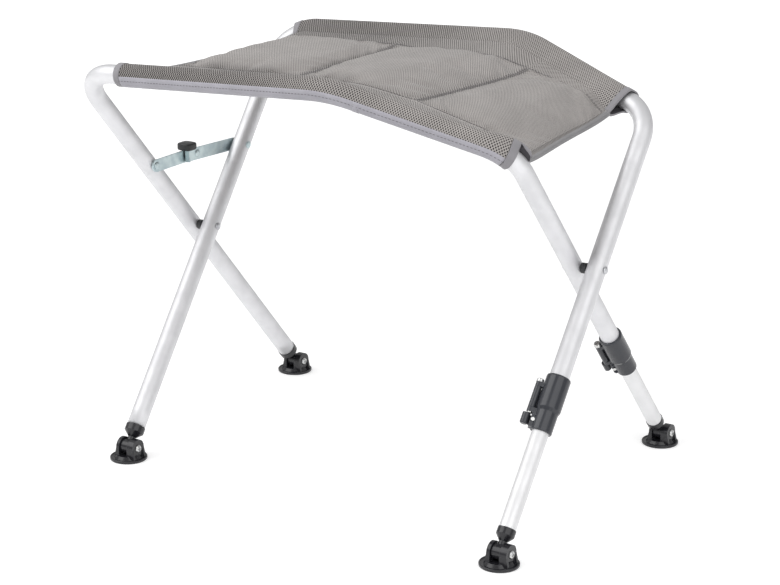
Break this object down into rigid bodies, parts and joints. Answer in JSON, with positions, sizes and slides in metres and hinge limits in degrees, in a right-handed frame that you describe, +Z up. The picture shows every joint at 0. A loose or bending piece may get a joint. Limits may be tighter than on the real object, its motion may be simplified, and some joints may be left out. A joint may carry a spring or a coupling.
{
  "type": "folding footstool",
  "caption": "Folding camping footstool: two crossed tube frames with a padded mesh seat, telescopic clamped legs on one side, swivel feet and a folding brace.",
  "frame": {"origin": "on the floor, under the middle of the whole part's bounding box", "axes": "+X to the side with the telescopic legs, -Y to the front, +Z up"},
  "size_m": [0.6189, 0.468, 0.4884],
  "materials": {
    "frame_tube": "matt silver anodised tube",
    "inner_tube": "matt silver anodised tube, a little lighter",
    "clamp_plastic": "satin anthracite moulded plastic",
    "foot_plastic": "satin black moulded plastic",
    "bright_screws": "bright plated steel",
    "dark_rivets": "black domed rivet",
    "spacer_plastic": "black plastic",
    "grip_plastic": "black moulded plastic",
    "zinc_plate": "bluish bright zinc plating",
    "sleeve_mesh": "coarse grey spacer mesh with a smooth grey hem",
    "seat_mesh": "padded grey spacer mesh in three pads"
  },
  "bodies": {
    "frame_a": {"frame_a_tube": "frame_tube", "clamp_sleeve_a": "clamp_plastic", "clamp_bolt_a": "bright_screws", "lever_pin_a": "bright_screws", "cap_back_left": "foot_plastic", "pivot_rivet_left": "dark_rivets", "pivot_rivet_right": "dark_rivets", "pivot_spacer_left": "spacer_plastic", "pivot_spacer_right": "spacer_plastic", "brace_anchor_a": "zinc_plate", "front_sleeve": "sleeve_mesh", "seat_panel": "seat_mesh"},
    "frame_b": {"frame_b_tube": "frame_tube", "clamp_sleeve_b": "clamp_plastic", "clamp_bolt_b": "bright_screws", "lever_pin_b": "bright_screws", "cap_front_left": "foot_plastic", "brace_anchor_b": "zinc_plate", "rear_sleeve": "sleeve_mesh"},
    "leg_a_ext": {"inner_leg_a": "inner_tube", "guide_bush_a": "clamp_plastic", "cap_back_right": "foot_plastic"},
    "leg_b_ext": {"inner_leg_b": "inner_tube", "guide_bush_b": "clamp_plastic", "cap_front_right": "foot_plastic"},
    "lever_a": {"clamp_lever_a": "clamp_plastic"},
    "lever_b": {"clamp_lever_b": "clamp_plastic"},
    "foot_back_left": {"foot_back_left": "foot_plastic", "screw_back_left": "bright_screws"},
    "foot_front_left": {"foot_front_left": "foot_plastic", "screw_front_left": "bright_screws"},
    "foot_back_right": {"foot_back_right": "foot_plastic", "screw_back_right": "bright_screws"},
    "foot_front_right": {"foot_front_right": "foot_plastic", "screw_front_right": "bright_screws"},
    "brace_a": {"brace_bar_a": "zinc_plate", "brace_mid_rivet_a": "zinc_plate"},
    "brace_b": {"brace_bar_b": "zinc_plate", "brace_mid_rivet_b": "zinc_plate", "brace_grip": "grip_plastic"}
  },
  "joints": [
    {"name": "fold", "type": "hinge", "parent": "frame_a", "child": "frame_b", "pos_m": [-0.0025, 0.00068, 0.255], "axis": [0.9984, 0, 0.0572], "range_deg": [0, 61.4], "deforming": ["seat_panel"]},
    {"name": "leg_a_slide", "type": "slide", "parent": "frame_a", "child": "leg_a_ext", "axis": [0.0271, 0.6387, -0.769], "range_m": [-0.095, 0.036]},
    {"name": "leg_b_slide", "type": "slide", "parent": "frame_b", "child": "leg_b_ext", "axis": [0.0271, -0.6387, -0.769], "range_m": [-0.095, 0.036]},
    {"name": "lever_a_flip", "type": "hinge", "parent": "frame_a", "child": "lever_a", "pos_m": [0.23885, 0.09641, 0.14052], "axis": [-0.0271, -0.6387, 0.769], "range_deg": [0, 90]},
    {"name": "lever_b_flip", "type": "hinge", "parent": "frame_b", "child": "lever_b", "pos_m": [0.26691, -0.10762, 0.15259], "axis": [-0.0271, 0.6387, 0.769], "range_deg": [0, 90]},
    {"name": "foot_back_left_swivel", "type": "hinge", "parent": "frame_a", "child": "foot_back_left", "pos_m": [-0.26611, 0.18709, 0.015], "axis": [1, 0, 0], "range_deg": [-20, 100]},
    {"name": "foot_front_left_swivel", "type": "hinge", "parent": "frame_b", "child": "foot_front_left", "pos_m": [-0.23733, -0.18709, 0.015], "axis": [1, 0, 0], "range_deg": [-100, 20]},
    {"name": "foot_back_right_swivel", "type": "hinge", "parent": "leg_a_ext", "child": "foot_back_right", "pos_m": [0.25921, 0.21204, 0.015], "axis": [1, 0, 0], "range_deg": [-20, 100]},
    {"name": "foot_front_right_swivel", "type": "hinge", "parent": "leg_b_ext", "child": "foot_front_right", "pos_m": [0.28792, -0.21204, 0.015], "axis": [1, 0, 0], "range_deg": [-100, 20]},
    {"name": "brace_a_turn", "type": "hinge", "parent": "frame_a", "child": "brace_a", "pos_m": [-0.2908, -0.07181, 0.32593], "axis": [0.9984, 0, 0.0572], "range_deg": [-0.5, 105.76]},
    {"name": "brace_b_turn", "type": "hinge", "parent": "frame_b", "child": "brace_b", "pos_m": [-0.26215, 0.07317, 0.32758], "axis": [0.9984, 0, 0.0572], "range_deg": [-105.76, 0.5]}
  ],
  "couplings": [
    {"joint": "brace_a_turn", "follows": "fold", "ratio": 1.7144},
    {"joint": "brace_b_turn", "follows": "fold", "ratio": -1.7144}
  ]
}
